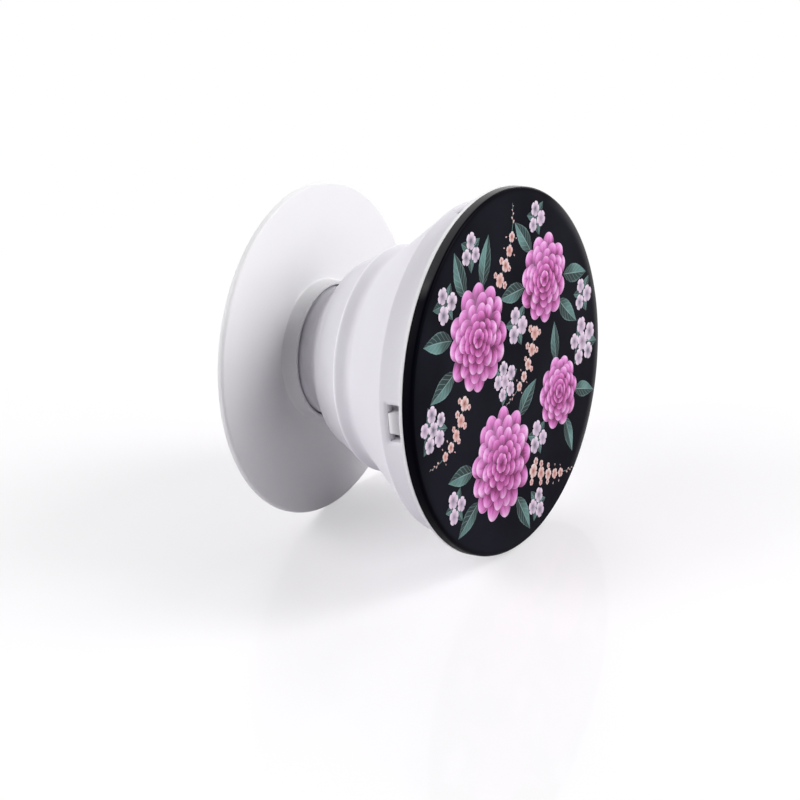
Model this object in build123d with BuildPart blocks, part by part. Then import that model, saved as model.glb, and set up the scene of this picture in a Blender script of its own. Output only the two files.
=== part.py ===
"""Collapsible phone grip: adhesive pad, domed base, folding bellows and a printed cap.

The axis is Z. The adhesive face lies on Z = 0 and the cap is at the top, drawn out to full length.
Looking down on the cap, +Y is the top of its print. All sizes are in millimetres.
"""

from build123d import *
from math import cos, radians, sin
import os

# Adhesive pad
pad_radius = 17.2
pad_thickness = 0.8

# Base disc, its dome and its boss ring
base_radius = 18.7
base_edge = 0.75
base_edge_round = 0.3
dome_rise = 0.65
boss_height = 1.3
boss_wall = 0.8
boss_draft = 0.4
boss_round = 0.4

# Bellows: sections from the plug up to the rim, as radii and lengths along the axis
bellows_wall = 1.2
plug_floor = 1.4
flange_width = 0.8
flange_thickness = 0.8
neck_radius = 7.2
neck_stand = 1.5
fold_one_flare = 2.85
fold_one_radius = 10.5
fold_one_land = 0.7
fold_one_land_step = 0.3
fold_two_flare = 3.05
fold_two_radius = 12.6
fold_two_lip = 0.35
valley_depth = 0.3
valley_length = 1.4
skirt_flare = 7.1
rim_radius = 18.25
rim_shoulder = 0.6
rim_shoulder_step = 0.5
rim_height = 3.35
neck_round = 1.0
fold_round = 1.5
valley_round = 1.2
shoulder_round = 1.0

# Snap windows in the rim and the hooks that stand in them
snap_count = 4
snap_angle = 19.0
window_width = 4.0
window_height = 1.45
window_drop = 1.85
hook_width = 2.2
hook_inset = 0.15
hook_gap = 0.4

# Cap
cap_radius = 20.0
cap_thickness = 1.7
cap_bare_edge = 0.45
cap_edge_round = 0.4
snap_ring_wall = 1.1
snap_ring_height = 3.2

# Ink layers of the print
ground_ink = 0.12
motif_ink = 0.06

# Clearances
neck_clearance = 0.35
flange_clearance = 0.2
flange_play = 0.1
rim_clearance = 0.1
snap_ring_clearance = 0.25
hook_clearance = 0.12
motif_margin = 0.15

# Heights of the base
base_bottom = pad_thickness
edge_top = base_bottom + base_edge
boss_root = edge_top + dome_rise
boss_top = boss_root + boss_height
socket_radius = neck_radius + neck_clearance
boss_radius = socket_radius + boss_wall
boss_root_radius = boss_radius + boss_draft
flange_radius = neck_radius + flange_width
recess_radius = flange_radius + flange_clearance
recess_top = base_bottom + flange_thickness + flange_play

# Stations of the bellows, each a radius and a height
neck_end = boss_top + neck_stand
fold_one_start = neck_end + fold_one_flare
fold_one_end = fold_one_start + fold_one_land
fold_two_start = fold_one_end + fold_two_flare
fold_two_end = fold_two_start + fold_two_lip
skirt_start = fold_two_end + valley_length
shoulder_start = skirt_start + skirt_flare
rim_start = shoulder_start + rim_shoulder
rim_top = rim_start + rim_height
valley_radius = fold_two_radius - valley_depth
shoulder_radius = rim_radius - rim_shoulder_step
rim_bore = rim_radius - bellows_wall
plug_bore = neck_radius - bellows_wall

# Heights of the cap and its print
cap_bottom = rim_top + rim_clearance
ground_bottom = cap_bottom + cap_bare_edge
ground_top = cap_bottom + cap_thickness
motif_top = ground_top + motif_ink
window_centre = cap_bottom - window_drop
snap_ring_radius = rim_bore - snap_ring_clearance
snap_ring_bore = snap_ring_radius - snap_ring_wall
hook_tip = rim_radius - hook_inset
hook_height = window_height - hook_clearance - hook_gap
hook_centre = window_centre - window_height / 2 + hook_clearance + hook_height / 2

# The print is laid out in shares of the flat face's radius, measured from its centre
face_radius = cap_radius - cap_edge_round
blossoms = [
    {"x": -0.40, "y": 0.18, "radius": 0.31, "petals": 12},
    {"x": -0.01, "y": -0.50, "radius": 0.33, "petals": 13},
    {"x": 0.57, "y": -0.10, "radius": 0.22, "petals": 10},
    {"x": 0.26, "y": 0.53, "radius": 0.26, "petals": 11},
]
heart_share = 0.5
leaf_waist = 0.52
leaves = [
    {"blossom": 0, "bearings": (92, 130, 184, 222), "length": 0.24},
    {"blossom": 1, "bearings": (60, 188, 226, 318), "length": 0.22},
    {"blossom": 2, "bearings": (-54, 4, 112), "length": 0.19},
    {"blossom": 3, "bearings": (-30, 8, 142, 196), "length": 0.22},
]
sprigs = [
    {"blossom": 0, "bearing": 62, "bend": 10, "florets": 4},
    {"blossom": 0, "bearing": 258, "bend": -11, "florets": 5},
    {"blossom": 1, "bearing": -8, "bend": 4, "florets": 5},
    {"blossom": 3, "bearing": -98, "bend": -9, "florets": 5},
]
floret_radius = 0.042
floret_taper = 0.9
floret_spacing = 2.25


def nearest(vertices, radius, height):
    """The corner of a half section nearest a radius and a height."""
    return vertices.sort_by_distance((radius, height, 0))[0]


def add_petals(blossom, share):
    """One ring of overlapping petals round a blossom's centre, in the current sketch."""
    reach = blossom["radius"] * face_radius * share
    centre = (blossom["x"] * face_radius, blossom["y"] * face_radius)
    with Locations(centre):
        Circle(0.6 * reach)
        with PolarLocations(0.62 * reach, blossom["petals"]):
            Ellipse(0.38 * reach, 0.21 * reach)


def stem_start(index, bearing):
    """A point just outside a blossom, in the direction of a bearing."""
    blossom = blossoms[index]
    reach = blossom["radius"] * face_radius + motif_margin
    x = blossom["x"] * face_radius + reach * cos(radians(bearing))
    y = blossom["y"] * face_radius + reach * sin(radians(bearing))
    return Vector(x, y)


def add_leaf(index, bearing, length):
    """A pointed leaf between two arcs, growing outward from a blossom, in the current sketch."""
    root = stem_start(index, bearing)
    along = Vector(cos(radians(bearing)), sin(radians(bearing))) * length
    across = Vector(-along.Y, along.X) * (leaf_waist / 2)
    tip = root + along
    middle = root + along * 0.45
    with BuildLine() as outline:
        ThreePointArc(root, middle + across, tip)
        ThreePointArc(tip, middle - across, root)
    make_face(outline.edges())


def add_sprig(index, bearing, bend, florets):
    """A curved row of round florets that shrink towards the tip, in the current sketch."""
    size = floret_radius * face_radius
    heading = bearing
    place = stem_start(index, bearing) + Vector(cos(radians(bearing)), sin(radians(bearing))) * size
    for _ in range(florets):
        with Locations((place.X, place.Y)):
            Circle(size)
        place = place + Vector(cos(radians(heading)), sin(radians(heading))) * (floret_spacing * size)
        heading += bend
        size *= floret_taper


with BuildPart() as adhesive_pad:
    with BuildSketch(Plane.XY):
        Circle(pad_radius)
    extrude(amount=pad_thickness)

with BuildPart() as base:
    with BuildSketch(Plane.XZ) as base_section:
        with BuildLine():
            Polyline(
                (boss_root_radius, boss_root),
                (boss_radius, boss_top),
                (socket_radius, boss_top),
                (socket_radius, recess_top),
                (recess_radius, recess_top),
                (recess_radius, base_bottom),
                (base_radius, base_bottom),
                (base_radius, edge_top),
            )
            # The dome leaves the boss level and steepens towards the thin edge
            TangentArc((boss_root_radius, boss_root), (base_radius, edge_top), tangent=(1, 0))
        make_face()
        fillet(nearest(base_section.vertices(), base_radius, edge_top), base_edge_round)
        fillet(nearest(base_section.vertices(), boss_radius, boss_top), boss_round)
    revolve(axis=Axis.Z)

with BuildPart() as bellows:
    with BuildSketch(Plane.XZ) as bellows_section:
        with BuildLine():
            Polyline(
                (0, base_bottom),
                (flange_radius, base_bottom),
                (flange_radius, base_bottom + flange_thickness),
                (neck_radius, base_bottom + flange_thickness),
                (neck_radius, neck_end),
                (fold_one_radius, fold_one_start),
                (fold_one_radius + fold_one_land_step, fold_one_end),
                (fold_two_radius, fold_two_start),
                (fold_two_radius, fold_two_end),
                (valley_radius, skirt_start),
                (shoulder_radius, shoulder_start),
                (rim_radius, rim_start),
                (rim_radius, rim_top),
                (rim_bore, rim_top),
                (rim_bore, rim_start),
                (shoulder_radius - bellows_wall, shoulder_start),
                (valley_radius - bellows_wall, skirt_start),
                (valley_radius - bellows_wall, fold_two_start),
                (fold_one_radius - bellows_wall, fold_one_end),
                (fold_one_radius - bellows_wall, fold_one_start),
                (plug_bore, neck_end),
                (plug_bore, base_bottom + plug_floor),
                (0, base_bottom + plug_floor),
                close=True,
            )
        make_face()
        fillet(nearest(bellows_section.vertices(), neck_radius, neck_end), neck_round)
        fillet(nearest(bellows_section.vertices(), fold_one_radius, fold_one_start), fold_round)
        fillet(nearest(bellows_section.vertices(), valley_radius, skirt_start), valley_round)
        fillet(nearest(bellows_section.vertices(), shoulder_radius, shoulder_start), shoulder_round)
    revolve(axis=Axis.Z)
    with Locations((0, 0, window_centre)):
        with PolarLocations(rim_radius - bellows_wall / 2, snap_count, start_angle=snap_angle):
            Box(2 * bellows_wall, window_width, window_height, mode=Mode.SUBTRACT)

with BuildPart() as cap:
    with BuildSketch(Plane.XZ) as cap_section:
        with BuildLine():
            Polyline(
                (0, cap_bottom),
                (snap_ring_bore, cap_bottom),
                (snap_ring_bore, cap_bottom - snap_ring_height),
                (snap_ring_radius, cap_bottom - snap_ring_height),
                (snap_ring_radius, cap_bottom),
                (cap_radius, cap_bottom),
                (cap_radius, ground_bottom),
                (cap_radius - ground_ink, ground_bottom),
                (cap_radius - ground_ink, ground_top - ground_ink),
                (0, ground_top - ground_ink),
                close=True,
            )
        make_face()
        top_corner = nearest(cap_section.vertices(), cap_radius - ground_ink, ground_top - ground_ink)
        fillet(top_corner, cap_edge_round - ground_ink)
    revolve(axis=Axis.Z)
    # Each hook starts inside the snap ring's wall and ends just short of the rim's outside
    hook_root = snap_ring_radius - snap_ring_wall / 2
    with Locations((0, 0, hook_centre)):
        with PolarLocations((hook_root + hook_tip) / 2, snap_count, start_angle=snap_angle):
            Box(hook_tip - hook_root, hook_width, hook_height)

with BuildPart() as print_ground:
    with BuildSketch(Plane.XZ) as ground_section:
        with BuildLine():
            Polyline(
                (0, ground_top - ground_ink),
                (cap_radius - ground_ink, ground_top - ground_ink),
                (cap_radius - ground_ink, ground_bottom),
                (cap_radius, ground_bottom),
                (cap_radius, ground_top),
                (0, ground_top),
                close=True,
            )
        make_face()
        inner_corner = nearest(ground_section.vertices(), cap_radius - ground_ink, ground_top - ground_ink)
        fillet(inner_corner, cap_edge_round - ground_ink)
        fillet(nearest(ground_section.vertices(), cap_radius, ground_top), cap_edge_round)
    revolve(axis=Axis.Z)

with BuildPart() as print_blossoms:
    with BuildSketch(Plane.XY.offset(ground_top)):
        for blossom in blossoms:
            add_petals(blossom, 1)
    extrude(amount=motif_ink)

with BuildPart() as print_hearts:
    with BuildSketch(Plane.XY.offset(motif_top)):
        for blossom in blossoms:
            add_petals(blossom, heart_share)
    extrude(amount=motif_ink)

with BuildPart() as print_leaves:
    with BuildSketch(Plane.XY.offset(ground_top)):
        for spray in leaves:
            for bearing in spray["bearings"]:
                add_leaf(spray["blossom"], bearing, spray["length"] * face_radius)
    extrude(amount=motif_ink)

with BuildPart() as print_sprigs:
    with BuildSketch(Plane.XY.offset(ground_top)):
        for sprig in sprigs:
            add_sprig(sprig["blossom"], sprig["bearing"], sprig["bend"], sprig["florets"])
    extrude(amount=motif_ink)

pieces = {
    "adhesive_pad": adhesive_pad,
    "base": base,
    "bellows": bellows,
    "cap": cap,
    "print_ground": print_ground,
    "print_blossoms": print_blossoms,
    "print_hearts": print_hearts,
    "print_leaves": print_leaves,
    "print_sprigs": print_sprigs,
}
os.makedirs("parts", exist_ok=True)
for name, piece in pieces.items():
    piece.part.label = name
    export_step(piece.part, f"parts/{name}.step")
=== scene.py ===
# %% [markdown]
# # A collapsible phone grip
#
# The grip is a round base that sticks to a phone, a soft white bellows and a cap with a flower print on
# black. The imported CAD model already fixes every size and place. This lesson dresses it: each piece gets
# finer geometry where the CAD is, and a finish made of nodes. The camera, the floor and the light follow.

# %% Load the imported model
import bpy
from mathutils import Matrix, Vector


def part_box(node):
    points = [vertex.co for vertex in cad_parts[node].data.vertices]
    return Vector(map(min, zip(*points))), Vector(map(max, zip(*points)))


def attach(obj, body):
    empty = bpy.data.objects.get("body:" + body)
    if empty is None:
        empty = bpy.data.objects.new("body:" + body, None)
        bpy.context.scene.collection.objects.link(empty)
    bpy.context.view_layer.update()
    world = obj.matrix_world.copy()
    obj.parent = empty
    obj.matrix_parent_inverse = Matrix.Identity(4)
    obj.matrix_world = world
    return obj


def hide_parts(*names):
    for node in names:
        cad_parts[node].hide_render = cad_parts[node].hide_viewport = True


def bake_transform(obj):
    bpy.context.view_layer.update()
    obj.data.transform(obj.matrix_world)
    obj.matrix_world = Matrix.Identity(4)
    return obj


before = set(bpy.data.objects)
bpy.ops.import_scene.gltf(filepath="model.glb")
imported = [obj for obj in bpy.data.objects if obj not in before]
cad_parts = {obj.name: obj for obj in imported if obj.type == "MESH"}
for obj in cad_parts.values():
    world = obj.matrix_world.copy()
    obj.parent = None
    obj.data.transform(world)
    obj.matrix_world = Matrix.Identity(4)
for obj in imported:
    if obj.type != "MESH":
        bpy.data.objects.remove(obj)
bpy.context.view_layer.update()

# %% [markdown]
# The real grip is measured in millimetres and Blender works in metres, so all sizes below are written in
# millimetres and scaled by one value where a mesh is made. The main heights come from the CAD boxes, so
# they follow the source if it changes.

# %% Heights and radii read from the CAD
from math import atan2, ceil, cos, hypot, pi, radians, sin, sqrt, tan, tau

import bmesh
import bpy
import numpy as np
from mathutils import Color, Matrix, Vector

mm = 0.001


def span(node):
    """A round node's greatest radius, lowest and highest point, in millimetres."""
    low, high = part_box(node)
    return high.x / mm, low.z / mm, high.z / mm


pad_radius, pad_bottom, pad_top = span("adhesive_pad")
base_radius, base_bottom, boss_top = span("base")
rim_radius, plug_bottom, rim_top = span("bellows")
cap_radius, ring_bottom, cap_top = span("cap")
_, ink_bottom, face_top = span("print_ground")
cap_gap = 0.1
cap_bottom = rim_top + cap_gap
print(f"base {base_radius:.2f}, rim {rim_radius:.2f}, cap {cap_radius:.2f} mm; face at {face_top:.2f} mm")

# %% [markdown]
# Nearly every piece of the grip is a turned form, so one helper makes them all. A section is a list of
# corners, each with a radius from the axis, a height and a rounding. Moulded edges are never sharp, and
# these small arcs are what catches the light. A Screw modifier could turn the section too; plain code is
# used because the bellows needs its windows left out of the same grid.

# %% Sections with rounded corners
tiny = 1e-6


def rounded(corners, step, arc_steps=5, closed=False):
    """Points along a section of (radius, height, rounding) corners, no further apart than step."""
    count = len(corners)
    points = []
    for place, (r, z, rounding) in enumerate(corners):
        if rounding == 0:
            points.append((r, z))
            continue
        corner = Vector((r, z))
        back = (Vector(corners[place - 1][:2]) - corner).normalized()
        ahead = (Vector(corners[(place + 1) % count][:2]) - corner).normalized()
        half = back.angle(ahead) / 2
        centre = corner + (back + ahead).normalized() * (rounding / sin(half))
        run = rounding / tan(half)
        start = corner + back * run - centre
        sweep = start.angle_signed(corner + ahead * run - centre)
        for share in np.linspace(0, 1, arc_steps + 1):
            swung = Matrix.Rotation(-sweep * share, 2) @ start
            points.append(tuple(centre + swung))
    return spaced(points, step, closed)


def spaced(points, step, closed):
    """The same run of points with long stretches divided."""
    run = []
    ends = points[1:] + points[:1] if closed else points[1:]
    for (r, z), (r_next, z_next) in zip(points, ends):
        parts = max(1, ceil(hypot(r_next - r, z_next - z) / step - tiny))
        for part in range(parts):
            share = part / parts
            run.append((r + (r_next - r) * share, z + (z_next - z) * share))
    return run if closed else run + [points[-1]]


# %% Turning a section round the axis
def turn(section, angles, closed=False, left_out=()):
    """Points and faces of a section turned through a full circle. left_out holds (angle, place) cells."""
    points, faces, index = [], [], {}
    for a, angle in enumerate(angles):
        for s, (r, z) in enumerate(section):
            if r < tiny and a > 0:
                index[a, s] = index[0, s]
                continue
            index[a, s] = len(points)
            points.append((r * cos(angle), r * sin(angle), z))
    cells = len(section) if closed else len(section) - 1
    for a in range(len(angles)):
        a_next = (a + 1) % len(angles)
        for s in range(cells):
            if (a, s) in left_out:
                continue
            s_next = (s + 1) % len(section)
            ring = (index[a, s], index[a_next, s], index[a_next, s_next], index[a, s_next])
            face = tuple(dict.fromkeys(ring))
            if len(face) > 2:
                faces.append(face)
    return points, faces, index


turn_steps = 256
even_turn = [tau * share / turn_steps for share in range(turn_steps)]


def turned(section, closed=False):
    """Points and faces of a section turned in even steps."""
    return turn(section, even_turn, closed)[:2]


# %% From points and faces to a piece
scene = bpy.context.scene
sharp_angle = radians(40)


def piece(name, parts, traits=None, closed=True):
    """One smooth mesh object from points and faces in millimetres, with traits at its points."""
    points, faces = [], []
    for part_points, part_faces in parts:
        offset = len(points)
        points += [(x * mm, y * mm, z * mm) for x, y, z in part_points]
        faces += [tuple(corner + offset for corner in face) for face in part_faces]
    mesh = bpy.data.meshes.new(name)
    mesh.from_pydata(points, [], faces)
    for trait, values in (traits or {}).items():
        mesh.attributes.new(trait, "FLOAT", "POINT").data.foreach_set("value", values)
    mesh.shade_smooth()
    mesh.set_sharp_from_angle(angle=sharp_angle)
    made = bpy.data.objects.new(name, mesh)
    scene.collection.objects.link(made)
    if closed:
        outward(mesh)
    print(f"{name}: {len(points)} points, {len(faces)} faces")
    return made


def outward(mesh):
    """Turns the faces of a closed mesh to the outside."""
    work = bmesh.new()
    work.from_mesh(mesh)
    bmesh.ops.recalc_face_normals(work, faces=work.faces)
    work.to_mesh(mesh)
    work.free()


# %% [markdown]
# Finishes are node trees. Writing them as arithmetic keeps them readable: one small class stands for a
# value on its way through the tree, and adding or multiplying such values makes the Math nodes. Every
# other node comes from a single method that takes its type, its settings and its sockets.

# %% Shader maths as plain expressions
class Flow:
    """One value in a node tree. Arithmetic on it adds Math nodes."""

    def __init__(self, tree, socket):
        self.tree = tree
        self.socket = socket

    def maths(self, operation, *values):
        node = self.tree.nodes.new("ShaderNodeMath")
        node.operation = operation
        for place, value in zip(node.inputs, values):
            feed(self.tree, place, value)
        return Flow(self.tree, node.outputs[0])

    def __add__(self, other):
        return self.maths("ADD", self, other)

    __radd__ = __add__

    def __sub__(self, other):
        return self.maths("SUBTRACT", self, other)

    def __rsub__(self, other):
        return self.maths("SUBTRACT", other, self)

    def __mul__(self, other):
        return self.maths("MULTIPLY", self, other)

    __rmul__ = __mul__

    def __abs__(self):
        return self.maths("ABSOLUTE", self)

    def fraction(self):
        return self.maths("FRACT", self)

    def larger(self, other):
        return self.maths("MAXIMUM", self, other)


def feed(tree, place, value):
    """Links a value in the tree to a socket, or sets a plain number or colour on it."""
    if isinstance(value, Flow):
        tree.links.new(value.socket, place)
    else:
        place.default_value = value


def named(sockets, key):
    """A socket by number, or by the name that it shows with the node's present settings."""
    if isinstance(key, int):
        return sockets[key]
    return next(socket for socket in sockets if socket.name == key and socket.enabled)


# %% A node tree with one method for every node
class Tree:
    """A material's or the world's nodes in the making."""

    def __init__(self, owner):
        owner.use_nodes = True
        self.nodes = owner.node_tree.nodes
        self.links = owner.node_tree.links

    def add(self, kind, settings=None, sockets=None, out=0):
        """A new node: settings first, then values or links of its sockets. Gives one of its outputs."""
        node = self.nodes.new(kind)
        for key, value in (settings or {}).items():
            if key == "stops":
                ramp = node.color_ramp.elements
                while len(ramp) < len(value):
                    ramp.new(0.5)
                for stop, (place, colour) in zip(ramp, value):
                    stop.position = place
                    stop.color = colour
            else:
                setattr(node, key, value)
        for key, value in (sockets or {}).items():
            feed(self, named(node.inputs, key), value)
        return Flow(self, named(node.outputs, out))

    def mix(self, share, first, second):
        """A colour between two colours."""
        sockets = {"Factor": share, "A": first, "B": second}
        return self.add("ShaderNodeMix", {"data_type": "RGBA"}, sockets, "Result")

    def vector(self, operation, *values, out=0):
        """A Vector Math node."""
        return self.add("ShaderNodeVectorMath", {"operation": operation}, dict(enumerate(values)), out)

    def place(self, stretch=(1, 1, 1)):
        """The point being shaded, in metres in the piece's own axes, stretched along each."""
        return self.vector("MULTIPLY", self.add("ShaderNodeTexCoord", out="Object"), stretch)

    def noise(self, scale, detail, at=None):
        """Cloudy variation between 0 and 1."""
        sockets = {"Vector": at or self.place(), "Scale": scale, "Detail": detail}
        return self.add("ShaderNodeTexNoise", None, sockets)

    def step(self, value, low, high):
        """0 below low, 1 above high and an easy rise between."""
        sockets = {"Value": value, "From Min": low, "From Max": high}
        return self.add("ShaderNodeMapRange", {"interpolation_type": "SMOOTHSTEP"}, sockets)

    def trait(self, name):
        """A number that the mesh carries at each point."""
        return self.add("ShaderNodeAttribute", {"attribute_name": name}, None, "Fac")

    def bump(self, height, strength, depth):
        """A normal roughened by a height, as deep as depth in millimetres."""
        sockets = {"Height": height, "Strength": strength, "Distance": depth * mm}
        return self.add("ShaderNodeBump", None, sockets, "Normal")


# %% Colours and finishes
def ink(red, green, blue):
    """A colour given as it looks on screen, 0 to 255, as the linear light that Blender mixes."""
    shown = Color((red / 255, green / 255, blue / 255))
    return (*shown.from_srgb_to_scene_linear(), 1.0)


def finish(name, specular, tree_maker):
    """A material with a fixed specular level, whose other values come from tree_maker."""
    material = bpy.data.materials.new(name)
    tree = Tree(material)
    shader = tree.nodes["Principled BSDF"]
    for key, value in {"Specular IOR Level": specular, **tree_maker(tree)}.items():
        feed(tree, shader.inputs[key], value)
    print(f"finish {name}: {len(tree.nodes)} nodes")
    return material


def dress(made, material, body, node):
    """Gives a piece its finish, the CAD body it moves with and the node it stands for."""
    made.data.materials.append(material)
    if body:
        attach(made, body)
    if node:
        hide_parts(node)


# %% [markdown]
# The adhesive pad is a die-cut disc of white acrylic foam between two thin sticky skins. Its cut edge is
# slightly hollow, because foam gives under the knife while the skins stay, so the section is drawn that
# way. The foam's cells are far too small for geometry and come from a Voronoi bump.

# %% Adhesive pad
skin = 0.08
hollow = 0.12
pad_section = rounded([
    (0, pad_bottom, 0),
    (pad_radius, pad_bottom, 0.03),
    (pad_radius, pad_bottom + skin, 0.03),
    (pad_radius - hollow, pad_bottom + 2 * skin, 0.06),
    (pad_radius - hollow, pad_top - 2 * skin, 0.06),
    (pad_radius, pad_top - skin, 0.03),
    (pad_radius, pad_top, 0.03),
    (0, pad_top, 0),
], step=2.0)
pad = piece("pad_foam", [turned(pad_section)])


# %% Foam finish
def foam_nodes(tree):
    cell_sockets = {"Vector": tree.place(), "Scale": 5200.0}
    cells = tree.add("ShaderNodeTexVoronoi", None, cell_sockets, "Distance")
    cloud = tree.noise(scale=260, detail=3)
    colour = tree.mix(cloud, ink(168, 170, 174), ink(196, 197, 200))
    return {
        "Base Color": tree.mix(0.35 * cells, colour, ink(120, 122, 127)),
        "Roughness": 0.62 + 0.25 * cells,
        "Normal": tree.bump(cells + 0.5 * cloud, strength=0.5, depth=0.06),
    }


acrylic_foam = finish("acrylic_foam", 0.35, foam_nodes)
dress(pad, acrylic_foam, "base", "adhesive_pad")

# %% [markdown]
# The base is an injection-moulded disc of white plastic: a thin rounded edge, a top that rises only a
# little towards the middle, and a slim boss ring round the socket. Bevelled cylinders joined together
# would leave seams, so all of it is one turned section, with the recess for the bellows' plug underneath.
# Its finish is satin: a fine grain from the mould, a slow drift in the white, and slightly glossier and
# duller patches.

# %% Base disc
edge_height = 0.75
dome_rise = 0.1
boss_root = base_bottom + edge_height + dome_rise
boss_radius, boss_root_radius = 7.75, 7.85
socket_radius = 7.4
recess_radius, recess_depth = 8.2, 0.65
recess_top = base_bottom + recess_depth
dome_run = base_radius - boss_root_radius
dome_curve = (dome_run**2 + dome_rise**2) / (2 * dome_rise)
dome_margin, dome_points = 0.8, 14


def dome_height(r):
    """Height of the top at a radius, on an arc that leaves the boss level."""
    return boss_root - dome_curve + sqrt(dome_curve**2 - (r - boss_root_radius) ** 2)


dome_start, dome_end = boss_root_radius + dome_margin, base_radius - dome_margin
base_section = rounded([
    (boss_root_radius, boss_root, 0.15),
    *((r, dome_height(r), 0) for r in np.linspace(dome_start, dome_end, dome_points)),
    (base_radius, base_bottom + edge_height, 0.3),
    (base_radius, base_bottom, 0.15),
    (recess_radius, base_bottom, 0.1),
    (recess_radius, recess_top, 0),
    (socket_radius, recess_top, 0),
    (socket_radius, boss_top, 0.08),
    (boss_radius, boss_top, 0.12),
], step=1.2, closed=True)
base = piece("base_disc", [turned(base_section, closed=True)])


# %% Moulded white finish
def moulded_white_nodes(tree):
    drift = tree.noise(scale=90, detail=2)
    grain = tree.noise(scale=5200, detail=3)
    gloss = tree.noise(scale=420, detail=3)
    return {
        "Base Color": tree.mix(drift, ink(222, 221, 223), ink(228, 227, 229)),
        "Roughness": 0.36 + 0.12 * gloss + 0.05 * grain,
        "Normal": tree.bump(grain, strength=0.12, depth=0.04),
    }


moulded_white = finish("moulded_white", 0.45, moulded_white_nodes)
dress(base, moulded_white, "base", "base")

# %% [markdown]
# The bellows is one soft moulding: a neck that plugs into the base, a smooth flare in two folds that ends
# in a crest, a skirt, and a rim with four windows for the cap's hooks. Modelling it as one turned wall
# keeps the folds smooth. The windows are cells left out of the grid, so the angles and the section both
# have lines on their edges, and short walls close the cut. A Boolean would leave long thin faces that
# shade badly on a curved rim.

# %% Stations of the bellows
wall = 1.2
plug_floor = plug_bottom + 1.4
neck_radius, neck_end = 7.2, 5.0
flange_radius, flange_height = neck_radius + 0.8, 0.5
fold_one_radius, fold_one_start, fold_one_end = 10.5, 7.85, 8.55
fold_one_slope = 0.3
fold_two_radius, fold_two_start, fold_two_end = 12.6, 11.62, 11.95
crest_reach, crest_rise = 0.32, 0.23
valley_radius, skirt_start = 12.3, 13.35
shoulder_radius, shoulder_start = 17.75, 20.45
rim_start = 21.05
rim_bore = rim_radius - wall
window_width, window_height = 4.0, 1.45
window_centre = cap_bottom - 1.85
window_low = window_centre - window_height / 2
window_high = window_centre + window_height / 2
window_fall = (0.17, 0.34, 0.5)
window_sink = 0.2
print(f"bellows windows from {window_low:.2f} to {window_high:.2f} mm")

# %% Bellows section
bellows_section = rounded([
    (0, plug_bottom, 0),
    (flange_radius, plug_bottom, 0.15),
    (flange_radius, plug_bottom + flange_height, 0.15),
    (neck_radius, plug_bottom + flange_height, 0.1),
    (neck_radius, neck_end, 2.0),
    (fold_one_radius, fold_one_start, 2.0),
    (fold_one_radius + fold_one_slope, fold_one_end, 2.0),
    (fold_two_radius - crest_reach, fold_two_start - crest_rise, 0.25),
    (fold_two_radius, fold_two_start, 0.2),
    (fold_two_radius, fold_two_end, 1.0),
    (valley_radius, skirt_start, 1.5),
    (shoulder_radius, shoulder_start, 1.0),
    (rim_radius, rim_start, 0.3),
    *((rim_radius, window_low - away, 0) for away in reversed(window_fall)),
    (rim_radius, window_low, 0),
    (rim_radius, window_high, 0),
    *((rim_radius, window_high + away, 0) for away in window_fall),
    (rim_radius, rim_top, 0.22),
    (rim_bore, rim_top, 0.22),
    (rim_bore, window_high, 0),
    (rim_bore, window_low, 0),
    (rim_bore, rim_start, 0.3),
    (shoulder_radius - wall, shoulder_start, 0.8),
    (valley_radius - wall, skirt_start, 0.5),
    (valley_radius - wall, fold_two_start, 0.3),
    (fold_one_radius - wall, fold_one_end, 0.4),
    (fold_one_radius - wall, fold_one_start, 0.4),
    (neck_radius - wall, neck_end, 0.6),
    (neck_radius - wall, plug_floor, 0.2),
    (0, plug_floor, 0),
], step=0.45)
print(f"bellows section: {len(bellows_section)} points")

# %% Angles with lines on the windows' edges
snap_count = 4
snap_angle = radians(19)
quarter_turn = tau / snap_count
window_half = window_width / 2 / (rim_radius - wall / 2)
window_cells = 10
plain_cells = 50
swings = [away / rim_radius for away in window_fall]
bellows_angles, windows = [], []
for quarter in range(snap_count):
    middle = snap_angle + quarter * quarter_turn
    bellows_angles += [middle - window_half - swing for swing in reversed(swings)]
    first = len(bellows_angles)
    windows.append(range(first, first + window_cells))
    bellows_angles += list(np.linspace(middle - window_half, middle + window_half, window_cells + 1))
    bellows_angles += [middle + window_half + swing for swing in swings]
    plain_start = middle + window_half + swings[-1]
    next_window = middle + quarter_turn - window_half - swings[-1]
    bellows_angles += list(np.linspace(plain_start, next_window, plain_cells + 1)[1:-1])
print(f"bellows: {len(bellows_angles)} angles, {len(windows)} windows")


# %% Bellows wall with its windows left out
def section_place(r, z):
    """The place in the bellows section nearest a radius and a height."""
    gaps = [hypot(near_r - r, near_z - z) for near_r, near_z in bellows_section]
    return gaps.index(min(gaps))


outer_low, outer_high = section_place(rim_radius, window_low), section_place(rim_radius, window_high)
inner_low, inner_high = section_place(rim_bore, window_low), section_place(rim_bore, window_high)
cut_places = [*range(outer_low, outer_high), *range(inner_high, inner_low)]
cut = {(a, s) for columns in windows for a in columns for s in cut_places}
bellows_points, bellows_faces, grid = turn(bellows_section, bellows_angles, left_out=cut)
for columns in windows:
    for a in columns:
        b = (a + 1) % len(bellows_angles)
        sill = grid[a, outer_low], grid[b, outer_low], grid[b, inner_low], grid[a, inner_low]
        lintel = grid[b, outer_high], grid[a, outer_high], grid[a, inner_high], grid[b, inner_high]
        bellows_faces += [sill, lintel]
    for rise in range(outer_high - outer_low):
        out_s, in_s = outer_low + rise, inner_low - rise
        for a in (columns.start, columns.stop % len(bellows_angles)):
            jamb = grid[a, out_s], grid[a, out_s + 1], grid[a, in_s - 1], grid[a, in_s]
            bellows_faces.append(jamb)
print(f"bellows: {len(cut)} cells cut for the windows")


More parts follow.
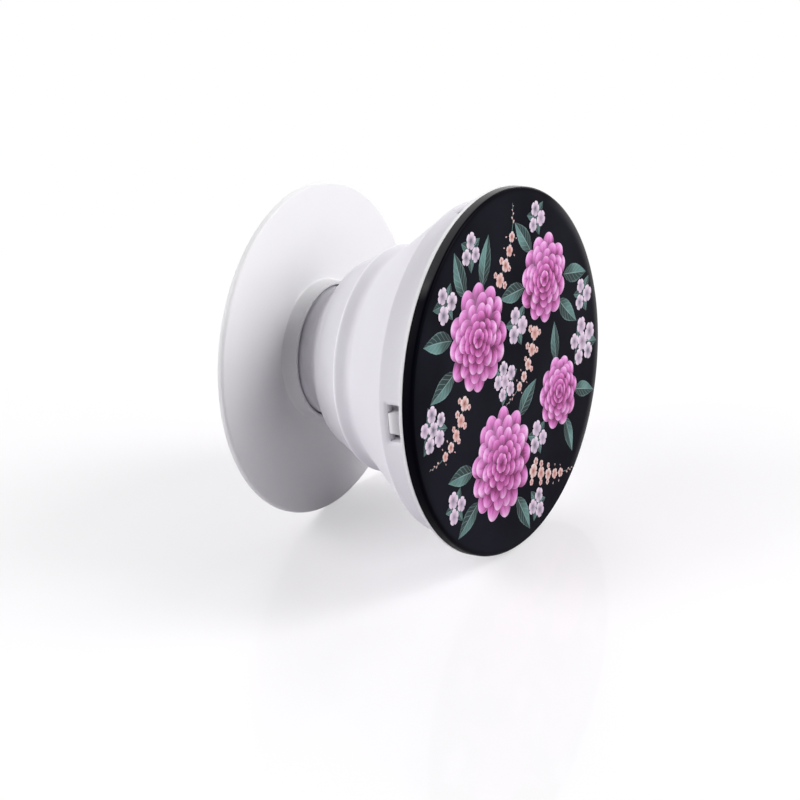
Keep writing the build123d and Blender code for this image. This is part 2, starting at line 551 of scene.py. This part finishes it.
# %% Rim that falls away round each window
def window_edge(point):
    """The point, drawn inward where the rim's outside falls away round a window."""
    x, y, z = point
    if hypot(x, y) < rim_radius - tiny:
        return point
    swing = (atan2(y, x) - snap_angle + quarter_turn / 2) % quarter_turn - quarter_turn / 2
    aside = max(0, abs(swing) - window_half) * rim_radius
    apart = hypot(aside, max(0, window_low - z, z - window_high))
    sunk = 1 - window_sink * max(0, 1 - apart / window_fall[-1]) ** 2 / rim_radius
    return x * sunk, y * sunk, z


bellows_points = [window_edge(point) for point in bellows_points]
rises = [z for _, _, z in bellows_points]
bellows = piece("bellows_skin", [(bellows_points, bellows_faces)], {"rise": rises})

# %% [markdown]
# The soft moulding is matt and a little duller than the hard plastic, with a fine blasted grain. Painted
# shade greys it a little below the crest, most at the neck and unevenly, and a painted highlight lightens
# the crest. A mask by height gives both. The piece moves with no body here; its place is baked into its
# points.

# %% Soft white finish
# root_fade: how far above the neck the painted shade fades out. crest_blur: how soft the foot of the
# crest's painted highlight is.
root_fade = 1.5
crest_blur = 0.1


def soft_white_nodes(tree):
    rise = tree.trait("rise")
    crest_low = fold_two_start - crest_rise
    # Masks by height: painted shade at the neck and, lighter, everywhere below the crest, and a painted
    # highlight on the crest.
    root = 1 - tree.step(rise, boss_top, neck_end + root_fade)
    below_crest_shade = 1 - tree.step(rise, crest_low, fold_two_start)
    crest_foot = tree.step(rise, crest_low - crest_blur, crest_low + crest_blur)
    crest = crest_foot * (1 - tree.step(rise, fold_two_start, fold_two_end))
    # A cloud that makes the painted shade uneven.
    shade_cloud = tree.noise(scale=700, detail=4)
    painted_shade = 0.30 * root * shade_cloud + below_crest_shade * (0.10 + 0.16 * shade_cloud)
    drift = tree.noise(scale=110, detail=2)
    grain = tree.noise(scale=6500, detail=3)
    white = tree.mix(drift, ink(220, 218, 224), ink(226, 224, 230))
    # The white with the painted shade laid over it.
    shaded_white = tree.mix(painted_shade, white, ink(196, 195, 201))
    return {
        # Painted highlight: the crest band is lightened.
        "Base Color": tree.mix(0.8 * crest, shaded_white, ink(242, 241, 246)),
        "Roughness": 0.50 + 0.14 * grain + 0.08 * drift,
        "Normal": tree.bump(grain, strength=0.16, depth=0.04),
    }


soft_white = finish("soft_white", 0.35, soft_white_nodes)
dress(bellows, soft_white, None, "bellows")
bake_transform(bellows)

# %% [markdown]
# The cap is a second hard moulding: a disc with a snap ring under it and four hooks that stand in the
# bellows' windows. Each hook has a rounded face, so it can slide past the rim, and soft edges from the
# mould. The hooks are drawn as an arched block, bevelled at its ends and set round the ring.

# %% Cap disc and snap ring
ring_play, ring_wall = 0.25, 1.1
ring_radius = rim_bore - ring_play
ring_bore = ring_radius - ring_wall
cap_ink_step = 0.12
cap_section = rounded([
    (0, cap_bottom, 0),
    (ring_bore, cap_bottom, 0.2),
    (ring_bore, ring_bottom, 0.2),
    (ring_radius, ring_bottom, 0.3),
    (ring_radius, cap_bottom, 0.15),
    (cap_radius, cap_bottom, 0.14),
    (cap_radius, ink_bottom, 0.04),
    (cap_radius - cap_ink_step, ink_bottom, 0),
    (cap_radius - cap_ink_step, cap_top, 0.28),
    (0, cap_top, 0),
], step=1.2)
cap_parts = [turned(cap_section)]
print(f"snap ring {ring_bore:.2f} to {ring_radius:.2f} mm")

# %% One hook's outline
hook_half = 1.1
hook_draft = 0.85
hook_low, hook_high = window_low + 0.03, window_high - 0.4
hook_tip, hook_root = rim_radius - 0.15, ring_radius - 0.5
hook_crown = 0.32
entry_fall, far_fall = 0.12, 0.42
hook_bevel = 0.12


def hook_face(rise):
    """Radius of a hook's rounded face, by the share of its height from the side that enters first."""
    if rise < hook_crown:
        return hook_tip - entry_fall * (1 - rise / hook_crown) ** 2
    return hook_tip - far_fall * ((rise - hook_crown) / (1 - hook_crown)) ** 2


def hook_edge(r, side):
    """Where a hook's side is: one stands upright, and the other leans out towards the root."""
    lean_out = hook_draft * (hook_tip - r) / (hook_tip - hook_root)
    return -hook_half if side < 0 else hook_half + lean_out


hook_rises = np.linspace(0, 1, 9)
hook_arc = [(hook_face(rise), hook_low + rise * (hook_high - hook_low)) for rise in hook_rises]
hook_outline = [(hook_root, hook_low), *hook_arc, (hook_root, hook_high)]
print(f"hook outline: {len(hook_outline)} corners")

# %% Snap hooks set round the ring
work = bmesh.new()
sides = [[work.verts.new((r, hook_edge(r, side), z)) for r, z in hook_outline] for side in (-1, 1)]
ends = [work.faces.new(sides[0]), work.faces.new(reversed(sides[1]))]
for corner in range(len(hook_outline)):
    after = (corner + 1) % len(hook_outline)
    work.faces.new((sides[0][after], sides[0][corner], sides[1][corner], sides[1][after]))
end_edges = [edge for end in ends for edge in end.edges]
bmesh.ops.bevel(work, geom=end_edges, offset=hook_bevel, segments=3, profile=0.5, affect="EDGES")
work.verts.index_update()
hook_points = [tuple(corner.co) for corner in work.verts]
hook_faces = [tuple(corner.index for corner in face.verts) for face in work.faces]
work.free()
for quarter in range(snap_count):
    swing = Matrix.Rotation(snap_angle + quarter * quarter_turn, 3, "Z")
    cap_parts.append(([tuple(swing @ Vector(point)) for point in hook_points], hook_faces))
cap = piece("cap_disc", cap_parts)
dress(cap, moulded_white, "cap", "cap")

# %% [markdown]
# The black of the print covers the face and wraps over the rounded edge, leaving a thin white line of
# bare plastic. The film is its own thin closed skin, as the CAD has it: satin lacquer with a low base
# colour, a gentle orange-peel bump and uneven gloss. Lacquer gathers along an edge, so a clear coat grows
# over the last millimetres of the face at one side, and runs onto the edge's wall at the top. A coat all
# round would be simpler, but it would shine where the film is dull.

# %% Black ground
edge_round = 0.4
face_radius = cap_radius - edge_round
film = rounded([
    (0, face_top - cap_ink_step, 0),
    (cap_radius - cap_ink_step, face_top - cap_ink_step, edge_round - cap_ink_step),
    (cap_radius - cap_ink_step, ink_bottom, 0),
    (cap_radius, ink_bottom, 0.05),
    (cap_radius, face_top, edge_round),
    (0, face_top, 0),
], step=1.0, arc_steps=8)
ground = piece("ink_ground", [turned(film)])

# %% Where the clear coat gathers
coat_run = 1.8
wall_start, wall_full = cap_radius - 0.05, cap_radius - 0.01
face_side, face_share = (radians(20), 0.50, 0.80), 0.95
wall_side, wall_share = (radians(105), 0.57, 0.75), 0.68


def on_side(tree, flat, bearing, low, high):
    """1 where the way out from the axis is near a bearing, 0 further off."""
    towards = (cos(bearing), sin(bearing), 0)
    facing = tree.vector("DOT_PRODUCT", tree.vector("NORMALIZE", flat), towards, out="Value")
    return tree.step(facing, low, high)


# %% Black finish
def black_nodes(tree):
    cloud = tree.noise(scale=70, detail=2)
    peel = tree.noise(scale=900, detail=2)
    fine = tree.noise(scale=7000, detail=2)
    drift = tree.mix(tree.step(cloud, 0.35, 0.65), ink(0, 0, 9), ink(16, 16, 26))
    spread = tree.mix(0.3 * peel, drift, ink(6, 6, 18))
    flat = tree.place((1, 1, 0))
    reach = tree.vector("LENGTH", flat, out="Value")
    # Painted shade: the black is darker over the last of the face, the rounded edge and the edge's wall.
    edge = tree.step(reach, (face_radius - edge_round) * mm, (cap_radius - cap_ink_step) * mm)
    gathered = tree.step(reach, (cap_radius - coat_run) * mm, cap_radius * mm)
    wall_mask = tree.step(reach, wall_start * mm, wall_full * mm)
    face_coat = gathered * gathered * (1 - wall_mask) * on_side(tree, flat, *face_side)
    wall_coat = wall_mask * on_side(tree, flat, *wall_side)
    return {
        "Base Color": tree.mix(edge, spread, ink(0, 0, 6)),
        "Coat Weight": face_share * face_coat + wall_share * wall_coat,
        "Coat Roughness": 0.2,
        "Roughness": 0.30 + 0.10 * peel + 0.08 * fine,
        "Normal": tree.bump(peel + 0.3 * fine, strength=0.10, depth=0.04),
    }


black = finish("black_ground", 0.02, black_nodes)
dress(ground, black, "cap", "print_ground")

# %% [markdown]
# The flowers are layers of ink. They could be masks in the black's shader, but a mesh keeps their edges
# crisp. Each petal, leaf and floret is a small curved patch laid just above the black, with numbers at its
# points that say how far along and across the patch they are. The finishes use those to shade from root to
# tip, draw veins and lighten one side. One helper makes every patch, from a line, a width and a bend.

# %% Layout of the print
# Each blossom: x, y and radius as shares of the face's radius, and the petals of its outer ring.
blossoms = [
    (-0.40, 0.18, 0.31, 12), (-0.01, -0.50, 0.33, 13),
    (0.57, -0.10, 0.22, 10), (0.26, 0.53, 0.26, 11),
]
# Each spray of leaves: its blossom, the leaves' bearings in degrees, and their length as a share.
leaves = [
    (0, (92, 130, 184, 222), 0.24),
    (1, (60, 188, 226, 318), 0.22),
    (2, (-54, 4, 112), 0.19),
    (3, (-30, 8, 142, 196), 0.22),
]
# Each sprig: its blossom, its bearing and its bend at every floret in degrees, and its large florets.
sprigs = [(0, 62, 10, 4), (0, 258, -11, 5), (1, -8, 4, 5), (3, -98, -9, 5)]
chance = np.random.default_rng(7)
print(f"print: {len(blossoms)} blossoms, {len(sprigs)} sprigs")


def on_face(x, y):
    """A point of the face from its shares of the face's radius."""
    return np.array((x * face_radius, y * face_radius))


def heading_out(bearing):
    """A step of one millimetre along a bearing on the face."""
    return np.array((cos(bearing), sin(bearing)))


# %% Layers of ink patches
light_bearing = radians(125)
side_light, end_light = 0.7, 0.6
tuck = 0.6


class Layer:
    """Patches of one ink, gathered into a single mesh with numbers at its points."""

    def __init__(self):
        self.points, self.faces = [], []
        self.traits = {"along": [], "across": [], "tone": [], "lit": [], "under": []}

    def patch(self, root, bearing, length, width, lift, tone, steps, bend=0.0, hidden=0.0, under=0.0):
        """A petal or leaf from root towards bearing; width gives the half width at each share along.

        The share called hidden lies under other petals, so the mesh starts a little inside it. The sides
        lie beneath the neighbours as far as under says.
        """
        ahead = heading_out(bearing)
        side = np.array((-ahead[1], ahead[0]))
        turn_to_light = light_bearing - bearing
        offset = len(self.points)
        first = tuck * hidden
        for u in first + (1 - first) * np.sin(np.linspace(0, pi / 2, steps[0] + 1)):
            for v in np.linspace(-1, 1, steps[1] + 1):
                aside = width(u) * v + bend * length * u * u
                x, y = np.array(root) + ahead * length * u + side * aside
                self.points.append((x, y, face_top + lift))
                along = max(0.0, (u - hidden) / (1 - hidden))
                lit = side_light * v * sin(turn_to_light) + end_light * cos(turn_to_light)
                for trait, value in zip(self.traits, (along, v, tone, lit, under)):
                    self.traits[trait].append(value)
        row = steps[1] + 1
        for u in range(steps[0]):
            for v in range(steps[1]):
                corner = offset + u * row + v
                self.faces.append((corner, corner + row, corner + row + 1, corner + 1))

    def piece(self, name):
        return piece(name, [(self.points, self.faces)], self.traits, closed=False)


# %% [markdown]
# A blossom has six rings of petals that shorten towards the middle. Neighbouring petals sit on slightly
# different levels, so they overlap cleanly instead of cutting through each other. The three inner rings
# are a deeper ink and make a piece of their own. What shows of a petal is only the end that the next ring
# leaves free, so the shading runs over that end: dark where it comes out, pale at the tip.

# %% A petal's outline and the rings
petal_shoulder = 0.66
petal_overlap = 1.38
hidden_share = 0.78
ring_reaches = (1.00, 0.83, 0.66, 0.49, 0.33, 0.18)
inner_reaches = (*ring_reaches[1:], 0)
ring_fewer = (0, 0, 1, 3, 5, 6)
rings = list(zip(ring_reaches, inner_reaches, ring_fewer))
inner_ring = 3
first_lift, ring_lift, petal_lift = 0.010, 0.012, 0.004


def petal_outline(u):
    """How wide a petal is at a share along it: a narrow root, a full shoulder and a blunt point."""
    return u**0.95 * (1 - u) ** 0.5


def petal_width(half):
    """Half width along a petal, with the given half width at its shoulder."""
    return lambda u: half * petal_outline(u) / petal_outline(petal_shoulder)


# %% Rings of petals
petal_layer, heart_layer = Layer(), Layer()
for x, y, radius, outer_petals in blossoms:
    middle = on_face(x, y)
    start_turn = chance.uniform(0, tau)
    for order, (reach, inner_reach, fewer) in enumerate(rings):
        count = outer_petals - fewer
        layer = heart_layer if order >= inner_ring else petal_layer
        hidden = hidden_share * inner_reach / reach
        for number in range(count):
            even_bearing = start_turn + tau * (number + 0.5 * (order % 2)) / count
            bearing = even_bearing + chance.uniform(-0.07, 0.07)
            length = radius * face_radius * reach * chance.uniform(0.93, 1.0)
            width = petal_width(petal_overlap * pi * petal_shoulder * length / count)
            level = 2 if number == count - 1 and count % 2 else number % 2
            lift = first_lift + ring_lift * order + petal_lift * level
            tone = chance.uniform(0, 1)
            bend = chance.uniform(-0.08, 0.08)
            layer.patch(middle, bearing, length, width, lift, tone, (14, 10), bend, hidden, 1 - level / 2)
petals = petal_layer.piece("ink_petals")
hearts = heart_layer.piece("ink_hearts")


# %% Pink inks
def printed(tree, colour, cloud):
    """An ink's colour, with the satin gloss and the faint tooth that all the inks share."""
    return {
        "Base Color": colour,
        "Roughness": 0.36 + 0.10 * cloud,
        "Normal": tree.bump(cloud, strength=0.05, depth=0.03),
    }


def petal_nodes(stops):
    """Nodes of a petal ink whose colour runs from root to tip through the given stops."""

    def nodes(tree):
        along, across = tree.trait("along"), tree.trait("across")
        tone, lit, under = tree.trait("tone"), tree.trait("lit"), tree.trait("under")
        lines = tree.add("ShaderNodeCombineXYZ", None, {0: across * 7, 1: along * 1.4, 2: tone * 31})
        streaks = tree.noise(scale=1, detail=3, at=lines)
        cloud = tree.noise(scale=420, detail=3)
        run = along + 0.34 * (streaks - 0.5) + 0.14 * (cloud - 0.5) + 0.20 * (tone - 0.5)
        body = tree.add("ShaderNodeValToRGB", {"stops": stops}, {0: run}, "Color")
        crease = (1 - tree.step(abs(across), 0.0, 0.20)) * (1 - tree.step(along, 0.3, 0.9))
        beneath = under * tree.step(abs(across), 0.45, 0.95) * (1 - tree.step(along, 0.5, 1.0))
        shaded = tree.mix((0.45 * crease).larger(0.75 * beneath), body, stops[0][1])
        dark = tree.mix(tree.step(0 - lit, 0.0, 1.1) * 0.55, shaded, stops[1][1])
        pale = tree.mix(tree.step(lit, 0.0, 1.2) * 0.50, dark, stops[-2][1])
        rim = tree.step(abs(across), 0.82, 1.0) * tree.step(along, 0.3, 0.8) * (1 - under * 0.7)
        return printed(tree, tree.mix(0.45 * rim, pale, stops[-1][1]), cloud)

    return nodes


pink_stops = [
    (0.0, ink(64, 8, 46)), (0.28, ink(128, 36, 100)), (0.55, ink(196, 102, 174)),
    (0.80, ink(218, 146, 206)), (1.0, ink(226, 192, 222)),
]
heart_stops = [
    (0.0, ink(62, 8, 42)), (0.28, ink(124, 34, 96)), (0.55, ink(182, 82, 156)),
    (0.82, ink(210, 122, 190)), (1.0, ink(226, 172, 214)),
]
print_gloss = 0.15
pink_ink = finish("pink_ink", print_gloss, petal_nodes(pink_stops))
dress(petals, pink_ink, "cap", "print_blossoms")
magenta_ink = finish("magenta_ink", print_gloss, petal_nodes(heart_stops))
dress(hearts, magenta_ink, "cap", "print_hearts")

# %% [markdown]
# Leaves are broader patches with a saw edge. Their two halves differ in tone, a pale midrib runs down the
# middle and side veins branch from it, all from the along and across numbers. They darken where they come
# out from under a blossom. Thin stems, made of narrow patches, carry the florets that come next.

# %% Leaves
leaf_tuck = 0.9
leaf_lift = 0.008
blossom_gap = 0.15


def leaf_width(half):
    """Half width of a leaf with a full lower third, a drawn-out point and small teeth."""
    return lambda u: half * sin(pi * u**0.8) * (1 + 0.07 * ((u * 11) % 1 - 0.5))


def beside(blossom, bearing, extra):
    """A point just outside a blossom, and further out by extra."""
    x, y, radius, _ = blossoms[blossom]
    return on_face(x, y) + (radius * face_radius + blossom_gap + extra) * heading_out(bearing)


leaf_layer = Layer()
for blossom, bearings, share in leaves:
    length = share * face_radius
    for degrees in bearings:
        bearing = radians(degrees)
        tone = chance.uniform(0, 1)
        root = beside(blossom, bearing, -leaf_tuck)
        bend = chance.uniform(-0.1, 0.1)
        width = leaf_width(0.25 * length)
        leaf_layer.patch(root, bearing, length + leaf_tuck, width, leaf_lift, tone, (33, 8), bend)
print(f"leaves: {len(leaf_layer.faces)} faces so far")

# %% [markdown]
# The sprigs are trails of small five-petalled florets in cream with a peach eye. The large ones are where
# the CAD has them. Smaller ones crowd in beside them and the trail runs out in buds, drop-shaped patches
# that shrink towards the end. They share the cream finish, which runs from the peach eye to a pale tip.

# %% Florets, buds and stems
floret_petals = 5
floret_level = 0.003
floret_lift, small_lift, stem_lift = 0.024, 0.013, 0.005
sprig_layer = Layer()


def floret_width(half):
    """Half width of a floret's petal, widest near its round tip."""
    return lambda u: half * u**0.7 * (1 - u**4) ** 0.5


def floret(layer, spot, size, lift):
    """Five short wide petals round a point."""
    opening = chance.uniform(0, tau)
    tone = chance.uniform(0, 1)
    width = floret_width(0.66 * size)
    for petal in range(floret_petals):
        bearing = opening + tau * petal / floret_petals
        level = 2 if petal == floret_petals - 1 else petal % 2
        layer.patch(spot, bearing, size, width, lift + floret_level * level, tone, (8, 6))


def bud(spot, bearing, size):
    """A closed bud: one drop-shaped patch."""
    tone = chance.uniform(0.3, 1)
    sprig_layer.patch(spot, bearing, size, floret_width(0.34 * size), small_lift, tone, (6, 4))


def stem(start, end, half):
    """A thin green line between two points."""
    across = end - start
    bearing = atan2(across[1], across[0])
    tone = chance.uniform(0, 1)
    leaf_layer.patch(start, bearing, hypot(*across), lambda u: half, stem_lift, tone, (4, 2))


# %% Sprigs
floret_share = 0.042
floret_spacing, bud_spacing = 2.25, 0.85
floret_stem, bud_stem = 0.06, 0.04
shrink = 0.9
last_buds = 5
bud_swing = 0.55


def crowd(spot, size, heading, budding):
    """A small floret, or a bud, on each side of a large floret."""
    for side in (-1, 1):
        aside = heading + side * chance.uniform(1.3, 1.9)
        small = size * chance.uniform(0.42, 0.58)
        gap = (size + small) * chance.uniform(0.86, 1.0)
        place = spot + gap * heading_out(aside)
        if budding:
            bud(place, aside + side * 0.2, 1.1 * small)
        else:
            floret(sprig_layer, place, small, small_lift)


for blossom, degrees, bend, florets in sprigs:
    size = floret_share * face_radius
    heading = radians(degrees)
    spot = beside(blossom, heading, size)
    for number in range(florets):
        floret(sprig_layer, spot, size, floret_lift)
        crowd(spot, size, heading, budding=number >= florets - 2)
        after = spot + floret_spacing * size * heading_out(heading)
        stem(spot, after, floret_stem)
        spot = after
        heading += radians(bend)
        size *= shrink
    for number in range(last_buds):
        swing = heading + (bud_swing if number % 2 else -bud_swing)
        bud(spot, swing, size * (0.95 - 0.13 * number))
        after = spot + bud_spacing * size * heading_out(heading)
        stem(spot, after, bud_stem)
        spot = after
sprigs_piece = sprig_layer.piece("ink_sprigs")

# %% [markdown]
# Small lilac florets fill the black between the blossoms, in clusters of three or six on short dark leaves.
# They could be scattered at random, but a print is drawn by hand and keeps its gaps even, so the places
# are listed, each with the room it has. The size of a floret follows from that room.

# %% Lilac clusters
# Each cluster: x and y as shares of the face's radius, and its room in millimetres.
clusters_of_six = [(0.79, 0.19, 2.9), (-0.77, -0.31, 2.6), (-0.06, -0.05, 2.3)]
clusters_of_three = [
    (0.01, 0.26, 2.2), (-0.77, 0.35, 2.2), (0.73, 0.46, 2.0), (-0.45, -0.73, 2.0),
    (-0.57, 0.64, 2.0), (0.38, -0.36, 2.0), (0.10, 0.86, 1.9), (0.45, -0.74, 1.9),
]
cluster_leaves = 3
cluster_leaf_lift = 0.0065
lilac_level = 0.012
lilac_layer = Layer()
for x, y, room in clusters_of_six + clusters_of_three:
    middle = on_face(x, y)
    opening = chance.uniform(0, tau)
    for number in range(cluster_leaves):
        bearing = opening + tau * (number + 0.5) / cluster_leaves
        length = room * chance.uniform(1.0, 1.2)
        width = leaf_width(0.28 * length)
        leaf_layer.patch(middle, bearing, length, width, cluster_leaf_lift, 1.0, (22, 6))
    of_six = (x, y, room) in clusters_of_six
    in_ring, ring_reach = (5, 1.85) if of_six else (3, 1.15)
    size = room / (ring_reach + 1)
    places = [middle] if of_six else []
    for number in range(in_ring):
        places.append(middle + ring_reach * size * heading_out(opening + tau * number / in_ring))
    for number, spot in enumerate(places):
        lift = lilac_level * (1 + number % 3)
        floret(lilac_layer, spot, size * chance.uniform(0.88, 1.06), lift)
lilac_piece = lilac_layer.piece("ink_lilac")
leaves_piece = leaf_layer.piece("ink_leaves")


# %% Green ink
def leaf_nodes(tree):
    along, across, tone = tree.trait("along"), tree.trait("across"), tree.trait("tone")
    cloud = tree.noise(scale=520, detail=4)
    half = tree.step(across, -0.10, 0.10)
    body = tree.mix(half, ink(20, 46, 47), ink(90, 128, 125))
    root = tree.mix(0.85 * (1 - tree.step(along, 0.12, 0.6)), body, ink(9, 18, 20))
    toned = tree.mix(tone * 0.5, root, ink(18, 36, 38))
    rib = 1 - tree.step(abs(across), 0.02, 0.09)
    branch = (along * 7 - abs(across) * 1.7).fraction()
    vein = (1 - tree.step(abs(branch - 0.5), 0.04, 0.14)) * tree.step(abs(across), 0.05, 0.2)
    lined = tree.mix((0.70 * rib).larger(0.30 * vein), toned, ink(138, 168, 165))
    edge = tree.step(abs(across), 0.78, 1.0) * tree.step(along, 0.2, 0.6)
    worked = tree.mix(0.40 * edge, lined, ink(140, 168, 166))
    return printed(tree, tree.mix(0.40 * tree.step(cloud, 0.45, 0.75), worked, ink(22, 42, 44)), cloud)


green_ink = finish("green_ink", print_gloss, leaf_nodes)
dress(leaves_piece, green_ink, "cap", "print_leaves")


# %% Cream and lilac inks
def floret_nodes(stops, shade, blush):
    """Nodes of a floret ink: stops from the eye to the tip, a shade for one side and a blush for some."""

    def nodes(tree):
        along, tone, lit = tree.trait("along"), tree.trait("tone"), tree.trait("lit")
        cloud = tree.noise(scale=900, detail=3)
        run = along + 0.25 * (cloud - 0.5)
        body = tree.add("ShaderNodeValToRGB", {"stops": stops}, {0: run}, "Color")
        dark = tree.mix(tree.step(0 - lit, 0.0, 0.9) * 0.45, body, shade)
        return printed(tree, tree.mix(0.40 * (1 - tone), dark, blush), cloud)

    return nodes


cream_stops = [
    (0.05, ink(104, 60, 57)), (0.28, ink(176, 118, 108)),
    (0.50, ink(198, 166, 163)), (0.9, ink(220, 202, 203)),
]
lilac_stops = [
    (0.05, ink(70, 64, 74)), (0.25, ink(126, 120, 134)),
    (0.50, ink(186, 168, 186)), (0.9, ink(220, 206, 220)),
]
cream_nodes = floret_nodes(cream_stops, shade=ink(164, 116, 110), blush=ink(196, 140, 132))
lilac_nodes = floret_nodes(lilac_stops, shade=ink(112, 106, 120), blush=ink(204, 176, 202))
dress(sprigs_piece, finish("cream_ink", print_gloss, cream_nodes), "cap", "print_sprigs")
dress(lilac_piece, finish("lilac_ink", print_gloss, lilac_nodes), "cap", None)

# %% [markdown]
# The camera stands where the photograph was taken from. The outlines of the two discs give its distance,
# its lens and the grip's tilt. The grip's axis, its up and its right are written as the camera sees them,
# and turning that round gives the camera's own place in the grip's frame.

# %% Camera
picture_width = 800
focal_pixels = 2600
sensor = 36.0
axis_turn, axis_tip = radians(58.24), radians(-6.72)
base_seen = Vector((-9.493, 5.918, -292.587))
axis = Vector((sin(axis_turn) * cos(axis_tip), sin(axis_tip), cos(axis_turn) * cos(axis_tip)))
print_up = (Vector((0, 1, 0)) - axis * axis.y).normalized()
print_right = print_up.cross(axis)
from_camera = Matrix((print_right, print_up, axis))
camera_place = (Vector((0, 0, base_bottom)) - from_camera @ base_seen) * mm
camera_data = bpy.data.cameras.new("camera")
camera_data.sensor_width = sensor
camera_data.lens = focal_pixels / picture_width * sensor
camera = bpy.data.objects.new("camera", camera_data)
camera.matrix_world = Matrix.Translation(camera_place) @ from_camera.to_4x4()
scene.collection.objects.link(camera)
scene.camera = camera
print("camera at", [round(value, 3) for value in camera.matrix_world.translation])

# %% [markdown]
# The grip lies on its side, so the floor runs along its axis and touches the rims of both discs. It is a
# broad disc that keeps the soft shadow near the grip and fades to plain white further out. A faint gloss
# mirrors the grip, as polished board does. Its back is see-through, because other views look from there.

# %% Floor disc
rolled = radians(-22.6)
lean = atan2(cap_radius - base_radius, cap_bottom - base_bottom)
floor_up = Vector((sin(rolled) * cos(lean), cos(rolled) * cos(lean), sin(lean)))
floor_level = cap_bottom * sin(lean) - cap_radius * cos(lean)
floor_along = 12
first_ring, ring_growth, ring_count = 20, 1.18, 25


def standing(place, upward):
    """The matrix of something at a place, in metres, with its own Z pointing upward."""
    return Matrix.Translation(place) @ upward.to_track_quat("Z", "Y").to_matrix().to_4x4()


floor_rings = [(first_ring * ring_growth**ring, 0) for ring in reversed(range(ring_count))]
floor = piece("floor", [turned([*floor_rings, (0, 0)])], closed=False)
floor_middle = floor_up * (floor_level - floor_along * sin(lean)) + Vector((0, 0, floor_along))
floor.matrix_world = standing(floor_middle * mm, floor_up)


# %% Floor paper
def seen_straight(tree):
    """1 for rays from the camera and in reflections, 0 for light on its way between surfaces."""
    to_camera = tree.add("ShaderNodeLightPath", out="Is Camera Ray")
    return to_camera.larger(tree.add("ShaderNodeLightPath", out="Is Glossy Ray"))


def blended(tree, share, first, second):
    """A shader between two shaders."""
    return tree.add("ShaderNodeMixShader", None, {0: share, 1: first, 2: second})


pure_white = (1, 1, 1, 1)
near_veil, fade_end = 0.45, 0.12
polish = 0.035
floor_paper = bpy.data.materials.new("floor_paper")
paper = Tree(floor_paper)
surface = paper.nodes["Principled BSDF"]
surface.inputs["Roughness"].default_value = 0.7
surface.inputs["Specular IOR Level"].default_value = 0.1
shown = seen_straight(paper)
fibre = paper.noise(scale=60, detail=3)
white_paper = paper.mix(fibre, ink(244, 240, 246), ink(248, 245, 249))
grey_paper = paper.mix(fibre, ink(206, 203, 209), ink(211, 208, 214))
feed(paper, surface.inputs["Base Color"], paper.mix(shown, grey_paper, white_paper))
far = paper.step(paper.vector("LENGTH", paper.place(), out="Value"), 0.0, fade_end)
veil = shown * (near_veil + (1 - near_veil) * far)
plain_white = paper.add("ShaderNodeEmission", None, {"Color": pure_white, "Strength": 1.0})
lit_floor = blended(paper, veil, Flow(paper, surface.outputs[0]), plain_white)
mirror = paper.add("ShaderNodeBsdfGlossy", None, {"Color": pure_white, "Roughness": 0.05})
polished = blended(paper, polish, lit_floor, mirror)
behind = paper.add("ShaderNodeNewGeometry", out="Backfacing")
one_sided = blended(paper, behind, polished, paper.add("ShaderNodeBsdfTransparent"))
feed(paper, paper.nodes["Material Output"].inputs["Surface"], one_sided)
floor.data.materials.append(floor_paper)
print(f"floor paper: {len(paper.nodes)} nodes")

# %% [markdown]
# The photograph's light is bright and soft and comes from many sides, as in a white tent. A bright surround
# alone would be one node, but it lights every fold alike, and white folds on white would vanish. So broad
# lamps stand all round: strong ones at the right, weaker ones at the left, above and behind. The surround
# adds almost no light, and shows as plain white to the camera and in reflections.

# %% Surround
world = bpy.data.worlds.new("studio")
scene.world = world
studio = Tree(world)
surround = studio.add("ShaderNodeBackground", None, {"Color": (0.95, 0.90, 1.0, 1), "Strength": 0.01})
backdrop = studio.add("ShaderNodeBackground", None, {"Color": pure_white, "Strength": 1.0})
sky = blended(studio, seen_straight(studio), surround, backdrop)
feed(studio, studio.nodes["World Output"].inputs["Surface"], sky)
scene.view_settings.view_transform = "Standard"
print(f"surround: {len(studio.nodes)} nodes")

# %% Lamps
lamp_distance = 0.9
lamp_size = 0.35
grip_middle = Vector((0, 0, 0.013))
# Each lamp: its direction as the camera sees it, then its power in watts.
lamps = {
    "right_key": (0.86, 0.46, 0.21, 2.87),
    "right_high": (0.70, 0.65, 0.30, 3.34),
    "right_front": (0.78, 0.31, 0.54, 1.52),
    "right_low": (0.67, -0.04, 0.74, 0.91),
    "left_front": (-0.69, 0.42, 0.60, 1.10),
    "left_fill": (-0.90, 0.29, 0.33, 1.90),
    "left_high": (-0.78, 0.56, 0.26, 2.06),
    "left_low": (-0.92, -0.16, 0.35, 0.99),
    "left_strip": (-1.0, -0.01, 0.0, 1.30),
    "top_right": (0.35, 0.94, 0.05, 0.89),
    "overhead": (-0.04, 0.91, -0.40, 0.87),
    "high_back": (-0.12, 0.77, -0.62, 1.54),
    "back_right": (0.38, 0.45, -0.81, 1.84),
}
unmirrored = ("top_right", "overhead", "high_back")
for name, (*seen_from, power) in lamps.items():
    data = bpy.data.lights.new(name, "AREA")
    data.size = lamp_size
    data.energy = power
    lamp = bpy.data.objects.new(name, data)
    away = from_camera @ Vector(seen_from).normalized()
    lamp.matrix_world = standing(grip_middle + away * lamp_distance, away)
    lamp.visible_camera = False
    lamp.visible_glossy = name not in unmirrored
    scene.collection.objects.link(lamp)
print(f"{len(lamps)} lamps, {sum(row[-1] for row in lamps.values()):.2f} W in all")
